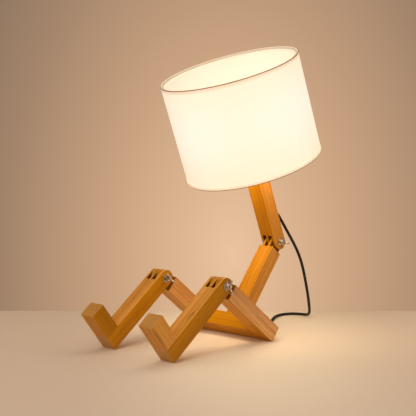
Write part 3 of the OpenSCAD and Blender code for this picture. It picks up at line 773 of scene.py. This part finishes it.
@dataclass(frozen=True)
class LitCloth:
    """Cotton on a white film, lit from inside: plain weave with slubs, brightest level with the
    bulb between the fitter's arms, dimmer towards both rims."""

    colour: str = "#FBF4E6"
    slub: str = "#EADCC2"
    glow: str = "#F2F5F0"
    rim_glow: str = "#F4F3DA"
    strength: float = 0.6
    edge: float = 0.0  # width of the rolled edge, where layers and wire let no light through
    rim_shade_colour: str = "#A48A69"
    drum: float = 169 * MM
    radius: float = 116 * MM
    thread: float = 0.9 * MM  # real threads are half as wide; drawn as coarse as they need to show
    bulb_height: float = 92 * MM
    spread: float = 70 * MM

    def lit(self, tree: Tree, local: Socket, z: Socket) -> Socket:
        """Find how much light comes through a rolled edge.

        Args:
            tree: The material's tree.
            local: Coordinates in the shade's frame.
            z: Height in it.

        Returns:
            0 on the edge's outer side, 0.7 on its inner side, 1 away from the edge.
        """
        nearest = tree.math("MINIMUM", z, tree.math("SUBTRACT", self.drum, z))
        far_in = tree.span(nearest, 0.35 * self.edge, self.edge, curve="SMOOTHSTEP")
        out = tree.vector("LENGTH", tree.vector("MULTIPLY", local, (1.0, 1.0, 0.0)))
        inside = tree.span(out, self.radius - 0.6 * MM, self.radius - 1.6 * MM, 0.0, 0.7)
        return tree.math("MAXIMUM", far_in, inside)

    def material(self, name: str, place: Place, weave: float = 1.0) -> bpy.types.Material:
        """Build the cloth of the shade.

        Args:
            name: Name of the material.
            place: Frame of the shade: z up its axis from its lower rim.
            weave: Strength of the weave, 0 for the smooth film inside.

        Returns:
            The material.
        """
        material, tree = new_material(name)
        local = tree.local(place)
        x, y, z = tree.parts(local)
        turn = tree.math("ARCTAN2", y, x)
        # Four soft bright zones round the drum, and one broad belt level with the bulb
        lobes = tree.math("COSINE", tree.math("MULTIPLY_ADD", turn, 4.0, 0.09))
        rise = tree.math("POWER", tree.math("SUBTRACT", z, self.bulb_height), 2.0)
        belt = tree.math("POWER", math.e, tree.math("MULTIPLY", rise, -1 / self.spread**2))
        shape = tree.math("MULTIPLY", belt, tree.math("MULTIPLY_ADD", lobes, 0.16, 0.84))
        strength = tree.span(shape, 0.0, 1.0, self.strength * 0.86, self.strength)
        # Weave: sine of the arc length times sine of the height, with slubs of noise
        per_metre = 2 * math.pi / self.thread
        warp = tree.math("SINE", tree.math("MULTIPLY", turn, self.radius * per_metre))
        weft = tree.math("SINE", tree.math("MULTIPLY", z, per_metre))
        slubs = tree.noise(tree.vector("MULTIPLY", local, (60.0, 60.0, 900.0)), 1.0)
        height = tree.math("MULTIPLY_ADD", tree.math("MULTIPLY", warp, weft), 0.35, slubs)
        colour = tree.mix(tree.span(slubs, 0.3, 0.75, 0.0, 0.5 * weave), self.colour, self.slub)
        if self.edge:
            lit = self.lit(tree, local, z)
            strength = tree.math("MULTIPLY", strength, lit)
            # Painted shade: the rolled edge's own colour is darkened where no light comes through
            colour = tree.mix(lit, self.rim_shade_colour, colour)
        tree.shade({
            "Base Color": colour,
            "Emission Color": tree.ramp(shape, {0.0: self.rim_glow, 0.85: self.glow}),
            "Emission Strength": strength,
            "Normal": tree.bump(0.35 * weave, 0.12 * MM, height),
            "Roughness": 0.85,
            "Specular IOR Level": 0.15,
        })
        return material


@dataclass(frozen=True)
class LitGlass:
    """Opal glass over a lit bulb: an even warm white that drowns its own surface."""

    colour: str = "#FFF6E4"
    milk: str = "#FFEFD2"
    glow: str = "#FFE9C4"
    strength: float = 1.1

    def material(self, name: str) -> bpy.types.Material:
        """Build the glass and return it."""
        material, tree = new_material(name)
        tree.shade({
            "Base Color": tree.mix(tree.noise(tree.where(), 60.0), self.colour, self.milk),
            "Emission Color": linear(self.glow),
            "Emission Strength": self.strength,
            "Roughness": 0.2,
        })
        return material


@dataclass(frozen=True)
class TableTop:
    """A lacquered table: pale, with a painted pool of light round the lamp where its colour is
    brighter.
    """

    pool: str = "#FFF9EE"
    far: str = "#DACEC6"
    middle: tuple[float, float, float] = (0.085, 0.0, 0.0)
    turn: float = 44.4  # degrees; the pool is a long oval, drawn out along this heading
    drawn_out: float = 2.6
    reach: float = 0.28

    def material(self, name: str) -> bpy.types.Material:
        """Build the table top and return it."""
        material, tree = new_material(name)
        where = tree.where()
        oval = tree.framed(where, self.middle, (0, 0, math.radians(self.turn)),
                           (1.0, self.drawn_out, 1.0))
        # Painted pool of light: the colour goes from pool to far over the oval's reach
        level = tree.span(tree.vector("LENGTH", oval), 0.0, self.reach, curve="SMOOTHSTEP")
        tree.shade({
            "Base Color": tree.ramp(level, {0.0: self.pool, 1.0: self.far}),
            "Roughness": tree.span(tree.noise(where, 300.0, 3.0), 0.0, 1.0, 0.5, 0.62),
            "Specular IOR Level": 0.25,
        })
        return material


# ---- Studio ------------------------------------------------------------------------------------


@dataclass(frozen=True)
class SoftLamp:
    """A square studio lamp."""

    name: str
    at: tuple[float, float, float]
    towards: tuple[float, float, float]
    size: float
    watts: float
    colour: str


@dataclass(frozen=True)
class Studio:
    """Camera, lamps, table and background, measured from the photograph's perspective."""

    camera_at: tuple[float, float, float] = (1052.3 * MM, -1084.6 * MM, 307.7 * MM)
    azimuth: float = 44.437
    look_down: float = 3.546
    lens: float = 81.25
    table_behind: float = 1789 * MM  # from the camera to the table's rear edge, along its view
    table_size: float = 3.0
    table_thickness: float = 30 * MM
    table_round: float = 20 * MM
    # The wall: its painted patch of lamp light, its middle right of and below the view, and its
    # reach
    patch_right: float = 0.026
    patch_down: float = 0.112
    patch_squash: tuple[float, float, float] = (1.0, 1.0, 0.6)  # it stands taller than it is wide
    patch_reach: float = 0.30
    fill: str = "#FFD094"
    fill_level: float = 0.31
    # What the lit shade sends down: the bulb's cone, and a disc in the shade's mouth
    bulb_watts: float = 3.8
    bulb_cone: float = 98.0
    bulb_radius: float = 33 * MM  # just outside the globe, which would block it
    mouth_watts: float = 0.42
    mouth_size: float = 224 * MM
    lamps: tuple[SoftLamp, ...] = (
        SoftLamp("key", (0.5, -1.6, 1.5), (0, 0, 0.2), 1.2, 17.5, "#FFF1E0"),
        SoftLamp("side", (0.9, 0.5, 0.55), (0, 0, 0.1), 0.5, 1.8, "#FFF1E0"),
        SoftLamp("top", (-0.5, 0.2, 1.9), (0, 0, 0.1), 1.4, 7.6, "#FFEEDC"),
    )

    def forward(self) -> np.ndarray:
        """Return the level direction in which the camera looks."""
        a = math.radians(self.azimuth)
        return np.array([-math.sin(a), math.cos(a), 0.0])

    def camera(self) -> None:
        """Make the camera of the photograph's view."""
        data = bpy.data.cameras.new("camera")
        data.sensor_width = 36.0
        data.lens = self.lens
        data.clip_start, data.clip_end = 0.01, 50.0
        camera = bpy.data.objects.new("camera", data)
        camera.location = self.camera_at
        camera.rotation_euler = (math.radians(90 - self.look_down), 0, math.radians(self.azimuth))
        bpy.context.scene.collection.objects.link(camera)
        bpy.context.scene.camera = camera

    def table(self) -> None:
        """Make the table as a slab with a rounded rim, its rear edge where the photograph's is."""
        ahead = self.forward()
        rear = np.array([self.camera_at[0], self.camera_at[1], 0.0]) + self.table_behind * ahead
        top = place_on(rear - ahead * self.table_size / 2, (0, 0, 1), np.cross(ahead, (0, 0, 1)))
        half = np.array([self.table_size, self.table_size / 2])
        outline = half * [[-1, -1], [1, -1], [1, 1], [-1, 1]]
        slab = pillow(rounded(outline, self.table_round), self.table_thickness,
                      top.shifted(z=-self.table_thickness / 2))
        piece = make_piece("table", slab, "", smooth=False)
        dress(piece, TableTop().material("lacquered_table"))

    def world(self) -> None:
        """Light the scene evenly and show a warm wall behind it.

        The wall's colour goes by how far a direction is from one towards the lamp: pale near it
        and darker away, a painted glow of the lamp's light on the wall.
        """
        world = bpy.data.worlds.new("studio")
        world.use_nodes = True
        bpy.context.scene.world = world
        tree = Tree(world.node_tree)
        tree.graph.nodes.clear()
        where = tree.add("TexCoord").outputs["Generated"]
        ahead = self.forward()
        look = ahead + self.patch_right * np.cross(ahead, (0, 0, 1)) - (0, 0, self.patch_down)
        bright = np.array(self.patch_squash) * look / np.linalg.norm(look)
        away = tree.vector("DISTANCE", tree.vector("MULTIPLY", where, self.patch_squash),
                           tuple(bright))
        # Painted glow of the lamp's light: pale near the patch and darker away
        wall = tree.ramp(tree.span(away, 0.0, self.patch_reach),
                         {0.0: "#EBC39F", 0.2: "#DCB490", 0.5: "#C39D7C", 0.8: "#A2846B",
                          1.0: "#8F7660"})
        seen = tree.add("Background", {0: wall, 1: 1.0}).outputs[0]
        fill = tree.add("Background", {0: linear(self.fill), 1: self.fill_level}).outputs[0]
        path = tree.add("LightPath").outputs
        shown = tree.math("MAXIMUM", path["Is Camera Ray"], path["Is Glossy Ray"])
        both = tree.add("MixShader", {0: shown, 1: fill, 2: seen}).outputs[0]
        tree.add("OutputWorld", {0: both})

    def hang(self, data: bpy.types.Light, at: np.ndarray, turn: Place, colour: str
             ) -> bpy.types.Object:
        """Put a light in its place.

        Args:
            data: The light.
            at: Where it hangs.
            turn: Frame down whose z axis it shines.
            colour: Its colour.

        Returns:
            The light's object.
        """
        data.color = linear(colour)[:3]
        light = bpy.data.objects.new(data.name, data)
        light.location = tuple(at)
        light.rotation_euler = turn.euler()
        bpy.context.scene.collection.objects.link(light)
        return light

    def bulb_light(self, globe: np.ndarray, mouth: Place) -> None:
        """Light the table as the lit shade does.

        A soft cone of light leaves the globe for the shade's lower mouth, and a disc fills the
        mouth, for what the bright film inside sends down.

        Args:
            globe: Middle of the bulb's globe.
            mouth: Frame of the shade's lower rim.
        """
        cone = bpy.data.lights.new("bulb_light", "SPOT")
        cone.shadow_soft_size, cone.energy = self.bulb_radius, self.bulb_watts
        cone.spot_size, cone.spot_blend = math.radians(self.bulb_cone), 0.35
        disc = bpy.data.lights.new("shade_light", "AREA")
        disc.shape, disc.size, disc.energy = "DISK", self.mouth_size, self.mouth_watts
        for data, at, colour in ((cone, globe, "#FFD6A2"), (disc, mouth.origin, "#FFD79C")):
            self.hang(data, at, mouth, colour).visible_camera = False

    def build(self) -> None:
        """Make everything that isn't part of the object, but for the bulb's light."""
        bpy.context.scene.view_settings.view_transform = "Standard"
        self.camera()
        self.table()
        self.world()
        for lamp in self.lamps:
            data = bpy.data.lights.new(lamp.name, "AREA")
            data.size, data.energy = lamp.size, lamp.watts
            at = np.array(lamp.at)
            self.hang(data, at, place_on(at, at - lamp.towards, (1.0, 0.2, 0.0)), lamp.colour)


# ---- Lead --------------------------------------------------------------------------------------


@dataclass(frozen=True)
class Lead:
    """The mains lead: a drop from the neck, a coil put away behind the figure, and a plug."""

    diameter: float = 5 * MM
    sleeve_length: float = 20 * MM
    sleeve_root: float = 8.06 * MM  # how far it goes on into the neck
    plug_length: float = 38 * MM
    # Where the sleeve ends, the way out, and the hanging part's points, in millimetres
    tip: tuple = (0.0, 157.591, 198.335)
    way_out: tuple = (0.0, 0.80902, -0.58779)
    drop: tuple = (
        # down behind the neck
        (0, 170.2, 186), (0, 179.6, 174.6), (0, 189.2, 162.7), (0, 199.2, 150.4),
        (0, 209.4, 137.2), (0, 219.3, 122.4), (0, 228, 105.6), (0, 235, 87), (0, 241, 67),
        (-0.5, 247.3, 46), (-2.5, 253.3, 28), (-7, 260.5, 14.5), (-14.5, 267.5, 6.5),
        # round on the table and back to the coil
        (-25, 272.5, 3.3), (-38, 273, 2.6), (-50, 267, 2.5), (-57.5, 255, 2.5), (-59, 240, 2.5),
        (-54.5, 222, 2.5), (-46, 206, 2.6), (-35.5, 190.5, 2.8), (-27, 176, 3.1), (-23, 165, 3.3),
    )
    tail: tuple = ((-23.5, 122, 7.4), (-26, 108, 6.4), (-33.5, 95.5, 6.2), (-45, 87, 6.8))
    plug_at: tuple = (-70.0, 84.0, 7.0)
    # The coil, in millimetres too: its middle, the height of its lower layer's middle line, how
    # much higher the upper one lies, its smallest radius, and how far a turn lies from the next
    coil_at: tuple = (-62.0, 146.0)
    coil_low: float = 3.3
    coil_rise: float = 5.55
    coil_inner: float = 20.5
    coil_pitch: float = 5.5
    layer_turns: float = 3.5
    turn_steps: int = 60

    def coil(self) -> np.ndarray:
        """Wind the coil.

        At turn t the radius is inner + pitch * |half - t|, so it winds in and out again, and the
        height climbs by a smooth step in the half turn round the middle.

        Returns:
            The coil's points, in millimetres.
        """
        half = self.layer_turns
        t = np.arange(int(2 * half * self.turn_steps) + 1) / self.turn_steps
        r = self.coil_inner + self.coil_pitch * np.abs(half - t)
        up = np.clip((t - half + 0.25) / 0.5, 0, 1)
        a = -2 * np.pi * t
        x, y = self.coil_at
        z = self.coil_low + self.coil_rise * up * up * (3 - 2 * up)
        return np.stack([x + r * np.cos(a), y + r * np.sin(a), z], -1)

    def route(self) -> np.ndarray:
        """Return the whole lead's middle line, in metres, from the sleeve to the plug.

        The drop starts straight along the way out, the coil is met and left along -Y, and the
        tail ends straight along -X.
        """
        back = np.array([0.0, self.diameter / MM, 0.0])
        tip, out = np.array(self.tip), np.array(self.way_out)
        coil = self.coil()
        start, end = coil[0], coil[-1]
        plug = np.array(self.plug_at)
        drop = np.array([tip + 0.2 * out, tip + 6 * out, *self.drop, start + 2 * back,
                         start + back])
        tail = np.array([end - back, end - 2 * back, *self.tail, plug + (14, 0, 0),
                         plug + (8, 0, 0)])
        parts = [smooth_route(drop, 8), coil, smooth_route(tail, 8)]
        return np.concatenate(parts) * MM

    def sleeve(self, out: np.ndarray, finish: bpy.types.Material) -> bpy.types.Object:
        """Make the rubber sleeve where the lead leaves the neck.

        Its radius falls from 4.5 to 3.2 mm over its length, with five rings cut into it, each a
        raised cosine half a millimetre deep.

        Args:
            out: Direction in which the lead leaves.
            finish: Rubber.

        Returns:
            The sleeve.
        """
        length, root = self.sleeve_length, self.sleeve_root
        s = np.linspace(-root, length, 90)
        taper = np.interp(s, [-root, 0, length], [4.5, 4.5, 3.2]) * MM
        phase = np.clip((s / length - 0.12) / 0.75, 0, 1) * 5
        cut = 0.5 * (1 - np.cos(2 * np.pi * phase)) * 0.55 * MM
        lip = np.clip((length - s) / (0.8 * MM), 0, 1)
        radius = (taper - cut) - 0.7 * MM * (1 - np.sqrt(lip))
        start = np.array(self.tip) * MM - out * length
        route = start + s[:, None] * out
        piece = make_piece("lead_sleeve", tube(route, radius, 32, (1, 0, 0)), "head")
        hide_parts("cord_relief")
        dress(piece, finish)
        return piece

    def plug(self, finish: bpy.types.Material) -> bpy.types.Object:
        """Make the plug's body as a loft of rounded oblongs.

        A section is a superellipse: |y / a|^n + |z / b|^n = 1, with its half width a, half height
        b and power n changing along the body, and seven grip ribs pressed into its flanks.

        Args:
            finish: Plug plastic.

        Returns:
            The plug's body.
        """
        s = np.linspace(0, 1, 120)[:, None]
        stops = np.array([0.0, 0.18, 0.34, 0.52, 0.9, 0.97, 1.0])
        half_w = np.interp(s, stops, [3.6, 5.2, 10.5, 16.6, 17.0, 16.4, 14.6]) * MM
        half_h = np.interp(s, stops, [3.4, 4.6, 6.4, 7.0, 7.0, 6.7, 5.6]) * MM
        power = np.interp(s, stops, [2.0, 2.2, 2.6, 3.4, 4.2, 4.2, 4.2])
        ribs = 0.5 * (1 - np.cos(2 * np.pi * 7 * np.clip((s - 0.5) / 0.34, 0, 1)))
        half_w = half_w - 0.5 * MM * ribs
        a = np.linspace(0, 2 * np.pi, 64, endpoint=False)[None, :]
        y = half_w * np.sign(np.cos(a)) * np.abs(np.cos(a)) ** (2 / power)
        z = half_h * np.sign(np.sin(a)) * np.abs(np.sin(a)) ** (2 / power)
        x = -self.plug_length * s + 0 * a
        points = np.array(self.plug_at) * MM + np.stack([x, y, z], -1)
        piece = make_piece("plug", capped(points[:, ::-1]), "frame")
        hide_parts("plug_body")
        dress(piece, finish)
        return piece

    def build(self) -> None:
        """Make the lead and every piece on it."""
        pvc = MouldedPlastic("#070505", "#110E0C", 0.55).material("extruded_black_pvc")
        moulded = MouldedPlastic("#0D0C0C", "#201E1D", 0.5).material("moulded_black_pvc")
        rubber = MouldedPlastic("#0E0D0D", "#23211F", 0.68).material("moulded_rubber")
        plated = PlatedMetal("#D9D3C4", "#B9AF9A", 0.22).material("nickel_plated_brass")
        route = self.route()
        lead = make_piece("lead", tube(route, self.diameter / 2, 16, (0.8, 0, 0.6)), "")
        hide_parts("cord_drop", "cord_coil", "cord_tail")
        dress(lead, pvc)
        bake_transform(lead)
        sleeve = self.sleeve(np.array(self.way_out), rubber)
        plug = self.plug(moulded)
        dress_node("plug_pins", plated)
        dress_node("coil_tie", moulded)
        dress_node("inner_lead", pvc)


# ---- Wooden figure -----------------------------------------------------------------------------


@dataclass(frozen=True)
class WoodenBars:
    """The nine bars and their dowels, each cut from its own piece of the tree."""

    figure: Figure
    wood: OiledHardwood = OiledHardwood()
    plain: OiledHardwood = OiledHardwood(slot=-3 * MM)  # for bars with no finger joint

    def build(self) -> None:
        """Dress every bar with grain along its own length, and its marks where it has any."""
        fig = self.figure
        section = (fig.bar_w, fig.bar_h)
        # Each bar's frame, its pith, and how pale its faces and its flanks are painted, for the
        # light on each side
        bars = {
            "left_thigh": (fig.thigh(Side.LEFT), (0.055, 0.040), (0.95, 1.25)),
            "right_thigh": (fig.thigh(Side.RIGHT), (-0.048, 0.062), (1.0, 1.15)),
            "left_shin": (fig.shin(Side.LEFT), (0.031, -0.066), (1.05, 0.82)),
            "right_shin": (fig.shin(Side.RIGHT), (0.071, 0.035), (1.06, 0.88)),
            "left_foot": (fig.foot(Side.LEFT), (-0.042, 0.058), (1.03, 1.06)),
            "right_foot": (fig.foot(Side.RIGHT), (0.060, 0.047), (1.0, 0.75)),
            "spine": (fig.spine(), (-0.058, -0.044), (0.96, 1.05)),
            "crossbar": (fig.crossbar(), (0.046, 0.052), (0.92, 0.92)),
            "neck_post": (fig.head(), (0.064, -0.050), (0.82, 1.05)),
        }
        marks = {
            "left_shin": (((8, 13, 72), (3, 5, 4.5)), ((6.5, 13, 80), (1.5, 4, 10))),
            "left_foot": (((15, -146, 37), (5, 3.2, 32)),),
        }
        for node, (place, pith, faces) in bars.items():
            wood = self.plain if node.endswith(("foot", "crossbar")) else self.wood
            dress_node(node, wood.material("oiled_hardwood_" + node, place, section, pith, faces,
                                           marks.get(node, ())))
        raw = self.plain.material("raw_dowel", fig.crossbar(), section, (0.01, 0.02))
        for node in ("hip_dowels", "spine_dowels", "left_foot_dowels", "right_foot_dowels"):
            dress_node(node, raw)


@dataclass(frozen=True)
class WingNut:
    """A wing nut on its bolt, over its washer."""

    node: str
    body: str
    place: Place  # in the middle of the joint, z along the bolt
    turn: float  # degrees, from the place's x axis
    bar_w: float = 30 * MM
    washer_t: float = 1 * MM
    bore: float = 2.58 * MM
    span: float = 24 * MM
    hub_r: float = 5 * MM
    hub_h: float = 6 * MM
    ear: float = 3.6 * MM
    wing_h: float = 11.5 * MM
    wing_t: float = 2 * MM

    def build(self, finish: bpy.types.Material) -> None:
        """Make the wing nut: a drawn hub with a rolled foot, and two cast ears.

        The hub's profile is turned about the bolt. An ear is an outline that leaves the hub and
        ends in a circle, made a plate with soft rims.

        Args:
            finish: Plated steel.
        """
        base = self.place.shifted(z=self.bar_w / 2 + self.washer_t).turned(self.turn)
        r, h = self.hub_r, self.hub_h
        corners = [[self.bore, 0], [r, 0], [r, 1.2 * MM], [r - 0.9 * MM, h], [self.bore, h]]
        hub = revolve(rounded(corners, 0.55 * MM, 4), 40, base)
        reach, top = self.span / 2 - self.ear, self.wing_h - self.ear
        a = np.radians(np.linspace(-55, 150, 18))
        tip = np.stack([reach + self.ear * np.cos(a), top + self.ear * np.sin(a)], -1)
        root = np.array([[2.9 * MM, h - 0.5 * MM], [2.9 * MM, 0.9 * MM], [r - 0.6 * MM, 0.9 * MM],
                         [r + 0.8 * MM, 2.2 * MM]])
        outline = np.concatenate([tip, root])
        ears = []
        for side in (1, -1):
            axes = np.array([side * base.axes[0], base.axes[2], -side * base.axes[1]])
            ears.append(pillow(outline, self.wing_t, Place(base.origin, axes), 9))
        piece = make_piece(self.node + "_form", merged([hub, *ears]), self.body)
        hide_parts(self.node)
        dress(piece, finish)


@dataclass(frozen=True)
class Hardware:
    """Every bolt, washer and wing nut of the figure."""

    figure: Figure

    def build(self) -> None:
        """Make the wing nuts and dress the bolts and washers."""
        zinc = PlatedMetal("#E2E1DE", "#B5B2AC", 0.26).material("zinc_plated_steel")
        fig = self.figure
        nuts = (("left", fig.shin(Side.LEFT), 52.0), ("right", fig.shin(Side.RIGHT), 100.0),
                ("neck", fig.head(), 53.0))
        for word, bar, turn in nuts:
            place = place_on(bar.origin, (1, 0, 0), -bar.axes[2])
            WingNut(word + "_wing_nut", word + "_nut", place, turn).build(zinc)
        for node in ("left_knee_bolt", "right_knee_bolt", "neck_bolt", "left_knee_washers",
                     "right_knee_washers", "neck_washers", "holder_nipple"):
            dress_node(node, zinc)


# ---- Head --------------------------------------------------------------------------------------


class Lampholder:
    """The black lampholder, its switch bar, the bulb and what holds them."""

    def build(self) -> None:
        """Dress the nodes of the holder and the bulb."""
        black = MouldedPlastic("#121110", "#262422", 0.34).material("moulded_phenolic")
        china = MouldedPlastic("#ECE8DD", "#D8D2C2", 0.3).material("glazed_ceramic")
        brass = PlatedMetal("#D9B56A", "#A9843F", 0.3).material("drawn_brass")
        cap = PlatedMetal("#C8C6C0", "#A5A29A", 0.3).material("spun_aluminium")
        for node in ("holder_cap", "holder_shell", "holder_ring", "switch_bar"):
            dress_node(node, black)
        dress_node("holder_disc", china)
        dress_node("holder_sleeve", brass)
        dress_node("bulb_cap", cap)
        dress_node("bulb_globe", LitGlass().material("opal_glass_lit"))


@dataclass(frozen=True)
class Shade:
    """The drum shade: cloth on a white film, two rolled hems, two wires and a fitter."""

    base: Place  # z up the axis from the lower rim
    radius: float = 116 * MM
    height: float = 169 * MM
    hem_t: float = 0.6 * MM
    hem_h: float = 6 * MM
    wall: float = 1.2 * MM
    cloth_t: float = 0.7 * MM  # the rest of the wall is film
    gap: float = 0.02 * MM  # to either side of the cloth
    rim_gap: float = 0.1 * MM
    steps: int = 192

    def band(self, r_in: float, r_out: float) -> Surface:
        """Turn a thin upright wall that ends inside both hems about the axis.

        Args:
            r_in: Its inner radius.
            r_out: Its outer radius.

        Returns:
            A closed ring.
        """
        low = self.hem_t + self.rim_gap
        z = np.linspace(low, self.height - low, 34)
        outer = np.stack([np.full_like(z, r_out), z], -1)
        inner = np.stack([np.full_like(z, r_in), z[::-1]], -1)
        return revolve(np.concatenate([outer, inner]), self.steps, self.base)

    def hem(self, name: str, at: float, up: float, finish: bpy.types.Material) -> bpy.types.Object:
        """Roll a hem over one rim.

        Its profile is a channel whose back is half round, turned about the drum's axis.

        Args:
            name: Name of the piece.
            at: Height of the rim.
            up: 1 if the channel opens upwards, -1 if downwards.
            finish: Tape.

        Returns:
            The hem.
        """
        t, r = self.hem_t, self.radius
        inner = r - 2 * t - self.wall
        half = (r - inner) / 2
        q = np.linspace(np.pi, 2 * np.pi, 17)
        arc = np.stack([np.cos(q), np.sin(q)], -1)
        back = (inner + half, half) + half * arc
        front = (inner + half, half) + (half - t) * arc[::-1]
        outer_lip = np.array([[r, self.hem_h - t], [r - t / 2, self.hem_h], [r - t, self.hem_h]])
        inner_lip = np.array([[inner + t, self.hem_h], [inner + t / 2, self.hem_h],
                              [inner, self.hem_h - t]])
        profile = np.concatenate([back, outer_lip, front, inner_lip]) * (1, up) + (0, at)
        surface = revolve(profile if up > 0 else profile[::-1], self.steps, self.base)
        piece = make_piece(name, surface, "head")
        dress(piece, finish)
        return piece

    def build(self) -> None:
        """Make the shade."""
        cloth = LitCloth().material("cotton_on_film_lit", self.base)
        film = LitCloth(colour="#F8F0E6", glow="#FFEDEC", strength=0.37).material(
            "white_film_lit", self.base, 0.15)
        tape = LitCloth(rim_glow="#F4E0C2", strength=0.5, edge=2.2 * MM).material(
            "cotton_tape_lit", self.base)
        white = MouldedPlastic("#E9E7E1", "#D5D1C7", 0.4).material("powder_coated_wire")
        r, t = self.radius - self.hem_t, self.hem_t
        middle = r - self.cloth_t
        fabric = make_piece("shade_cloth", self.band(middle + self.gap, r - self.gap), "head")
        liner = make_piece("shade_film", self.band(r - self.wall, middle), "head")
        dress(fabric, cloth)
        dress(liner, film)
        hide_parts("shade_drum")
        low = self.hem("hem_low", 0.0, 1, tape)
        high = self.hem("hem_high", self.height, -1, tape)
        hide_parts("shade_bottom_hem")
        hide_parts("shade_top_hem")
        for node in ("shade_top_wire", "shade_bottom_wire", "shade_fitter"):
            dress_node(node, white)


# ---- The whole lamp ----------------------------------------------------------------------------


def figure_from(frame: dict) -> Figure:
    """Read where the joints are.


    Returns:
        The seated figure.
    """
    joints = {j["name"]: np.array(j["pos_m"]) for j in frame["record"]["behaviour"]["joints"]
              if "pos_m" in j}
    return Figure({side: joints[side.word + "_knee"] for side in Side}, joints["neck_tilt"])


def main() -> None:
    """Build the studio and the lamp, part by part."""
    logging.basicConfig(level=logging.INFO, format="%(name)s: %(message)s")
    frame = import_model()
    figure = figure_from(frame)
    head = figure.head()
    studio = Studio()
    studio.build()
    Lead().build()
    WoodenBars(figure).build()
    Hardware(figure).build()
    Lampholder().build()
    mouth = head.shifted(z=NECK_TO_MOUTH)
    Shade(mouth).build()
    studio.bulb_light(head.shifted(z=NECK_TO_GLOBE).origin, mouth)


if __name__ == "__main__":
    main()
